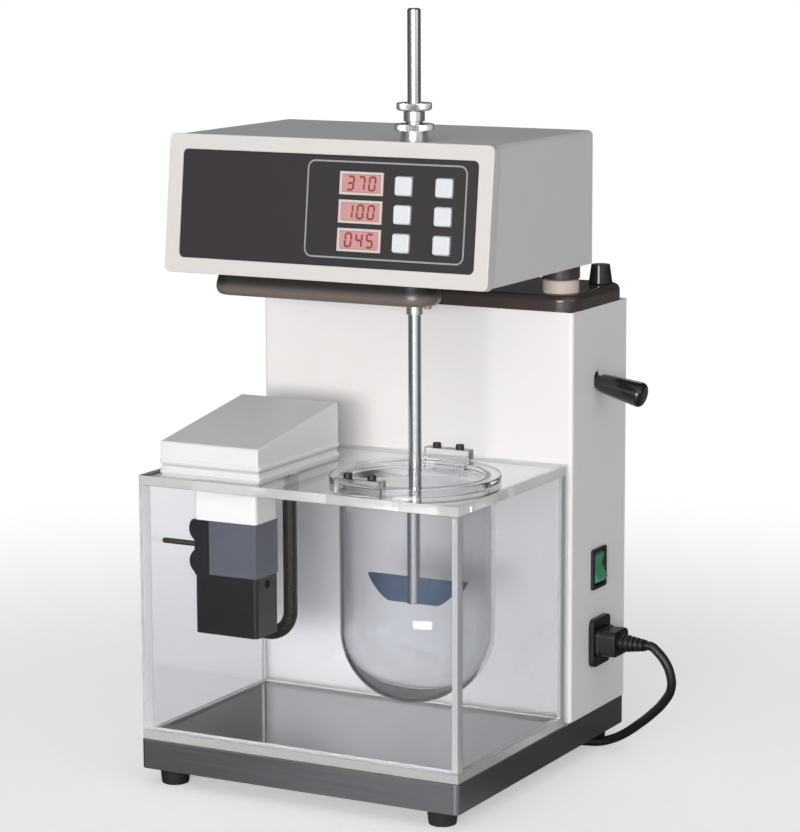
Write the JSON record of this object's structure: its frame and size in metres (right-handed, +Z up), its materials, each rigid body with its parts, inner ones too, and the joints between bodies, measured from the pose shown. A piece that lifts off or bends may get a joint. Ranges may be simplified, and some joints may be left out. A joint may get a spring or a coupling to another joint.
{
  "type": "dissolution tester",
  "caption": "Bench dissolution tester: a stirring head on two posts over a clear water bath, with a round-bottomed vessel, a paddle on a chucked rod and an immersion thermostat.",
  "frame": {"origin": "bench level, under the middle of the base plate", "axes": "+X to the right seen from the front, +Y to the back, +Z up"},
  "size_m": [0.3262, 0.4145, 0.5667],
  "materials": {
    "base_metal": "brushed",
    "foot_rubber": "matt",
    "white_sheet": "satin paint",
    "grey_sheet": "satin paint",
    "white_plastic": "satin",
    "bezel_plastic": "satin",
    "brown_plastic": "semi-gloss moulding",
    "nylon": "turned",
    "acrylic": "clear, polished",
    "vessel_glass": "clear",
    "panel_film": "fine matt",
    "display_rim": "satin",
    "display_red": "clear red",
    "button_white": "satin",
    "zinc_steel": "zinc plated",
    "chrome": "polished",
    "stainless": "ground",
    "blade_steel": "ground",
    "cast_alloy": "machined",
    "motor_paint": "satin paint",
    "core_steel": "varnished laminations",
    "black_plastic": "satin",
    "smoked": "smoked clear",
    "heater_sheath": "black oxide",
    "probe_metal": "ground",
    "rocker_green": "gloss",
    "circuit_board": "solder mask",
    "belt_rubber": "matt",
    "cord_rubber": "satin sheath"
  },
  "bodies": {
    "stand": {"base_plate": "base_metal", "rubber_feet": "foot_rubber", "column_shell": "white_sheet", "column_back_cover": "white_sheet", "cover_screws": "zinc_steel", "column_top_cap": "brown_plastic", "post_bushes": "nylon", "guide_plate": "zinc_steel", "transformer": "core_steel", "lever_bracket": "zinc_steel", "knob_pot": "motor_paint", "switch_frame": "black_plastic", "mains_inlet": "black_plastic", "tank_floor": "acrylic", "tank_walls": "acrylic", "tank_cover": "acrylic", "flange_stops": "acrylic", "stop_screws": "black_plastic", "thermostat_tray": "white_plastic", "thermostat_hood": "white_plastic", "pump_body": "black_plastic", "pump_window": "smoked", "pump_motor": "motor_paint", "heater_tube": "heater_sheath", "temperature_probe": "probe_metal", "mains_connector": "black_plastic", "mains_cord": "cord_rubber", "cord_coil": "cord_rubber", "wall_plug": "black_plastic"},
    "head": {"head_bezel": "bezel_plastic", "control_panel": "panel_film", "display_frames": "display_rim", "display_windows": "display_red", "head_cover": "grey_sheet", "head_floor": "zinc_steel", "lift_posts": "chrome", "bump_collars": "brown_plastic", "drive_housing": "brown_plastic", "drive_motor": "motor_paint", "control_board": "circuit_board", "spindle_housing": "cast_alloy", "spindle_bearings": "zinc_steel", "drive_belt": "belt_rubber"},
    "spindle": {"spindle": "chrome", "spindle_pulley": "cast_alloy"},
    "motor_rotor": {"motor_pulley": "cast_alloy"},
    "chuck_nut": {"chuck_nut": "chrome"},
    "stirrer": {"stirring_rod": "stainless", "paddle_blade": "blade_steel"},
    "vessel": {"vessel": "vessel_glass"},
    "impeller": {"pump_impeller": "white_plastic"},
    "rocker": {"switch_rocker": "rocker_green"},
    "lever": {"lock_lever": "black_plastic"},
    "knob": {"adjuster_knob": "black_plastic"},
    "button_1": {"button_1": "button_white"},
    "button_2": {"button_2": "button_white"},
    "button_3": {"button_3": "button_white"},
    "button_4": {"button_4": "button_white"},
    "button_5": {"button_5": "button_white"},
    "button_6": {"button_6": "button_white"}
  },
  "joints": [
    {"name": "head_lift", "type": "slide", "parent": "stand", "child": "head", "axis": [0, 0, 1], "range_m": [0, 0.12]},
    {"name": "spindle_spin", "type": "hinge", "parent": "head", "child": "spindle", "pos_m": [0.058, -0.065, 0.4], "axis": [0, 0, 1], "continuous": true},
    {"name": "motor_spin", "type": "hinge", "parent": "head", "child": "motor_rotor", "pos_m": [-0.085, -0.065, 0.37], "axis": [0, 0, 1], "continuous": true},
    {"name": "rod_slide", "type": "slide", "parent": "spindle", "child": "stirrer", "axis": [0, 0, 1], "range_m": [-0.045, 0.06]},
    {"name": "chuck_turn", "type": "hinge", "parent": "spindle", "child": "chuck_nut", "pos_m": [0.058, -0.065, 0.49], "axis": [0, 0, 1], "range_deg": [0, 270]},
    {"name": "vessel_lift", "type": "slide", "parent": "stand", "child": "vessel", "axis": [0, 0, 1], "range_m": [0, 0.06]},
    {"name": "pump_spin", "type": "hinge", "parent": "stand", "child": "impeller", "pos_m": [-0.061, -0.1045, 0.121], "axis": [0, 0, 1], "continuous": true},
    {"name": "button_1_press", "type": "slide", "parent": "head", "child": "button_1", "axis": [0, 0.9933, -0.1158], "range_m": [0, 0.0012], "stiffness_N_per_m": 600, "springref_m": -0.0006},
    {"name": "button_2_press", "type": "slide", "parent": "head", "child": "button_2", "axis": [0, 0.9933, -0.1158], "range_m": [0, 0.0012], "stiffness_N_per_m": 600, "springref_m": -0.0006},
    {"name": "button_3_press", "type": "slide", "parent": "head", "child": "button_3", "axis": [0, 0.9933, -0.1158], "range_m": [0, 0.0012], "stiffness_N_per_m": 600, "springref_m": -0.0006},
    {"name": "button_4_press", "type": "slide", "parent": "head", "child": "button_4", "axis": [0, 0.9933, -0.1158], "range_m": [0, 0.0012], "stiffness_N_per_m": 600, "springref_m": -0.0006},
    {"name": "button_5_press", "type": "slide", "parent": "head", "child": "button_5", "axis": [0, 0.9933, -0.1158], "range_m": [0, 0.0012], "stiffness_N_per_m": 600, "springref_m": -0.0006},
    {"name": "button_6_press", "type": "slide", "parent": "head", "child": "button_6", "axis": [0, 0.9933, -0.1158], "range_m": [0, 0.0012], "stiffness_N_per_m": 600, "springref_m": -0.0006},
    {"name": "switch_rock", "type": "hinge", "parent": "stand", "child": "rocker", "pos_m": [0.127, 0.09, 0.144], "axis": [0, 1, 0], "range_deg": [0, 20]},
    {"name": "lever_turn", "type": "hinge", "parent": "stand", "child": "lever", "pos_m": [0.125, 0.0867, 0.2877], "axis": [0, -1, 0], "range_deg": [0, 24]},
    {"name": "knob_turn", "type": "hinge", "parent": "stand", "child": "knob", "pos_m": [0.117, 0.122, 0.36], "axis": [0, 0, 1], "range_deg": [-270, 0]}
  ],
  "couplings": [
    {"joint": "motor_spin", "follows": "spindle_spin", "ratio": 1.4444}
  ]
}
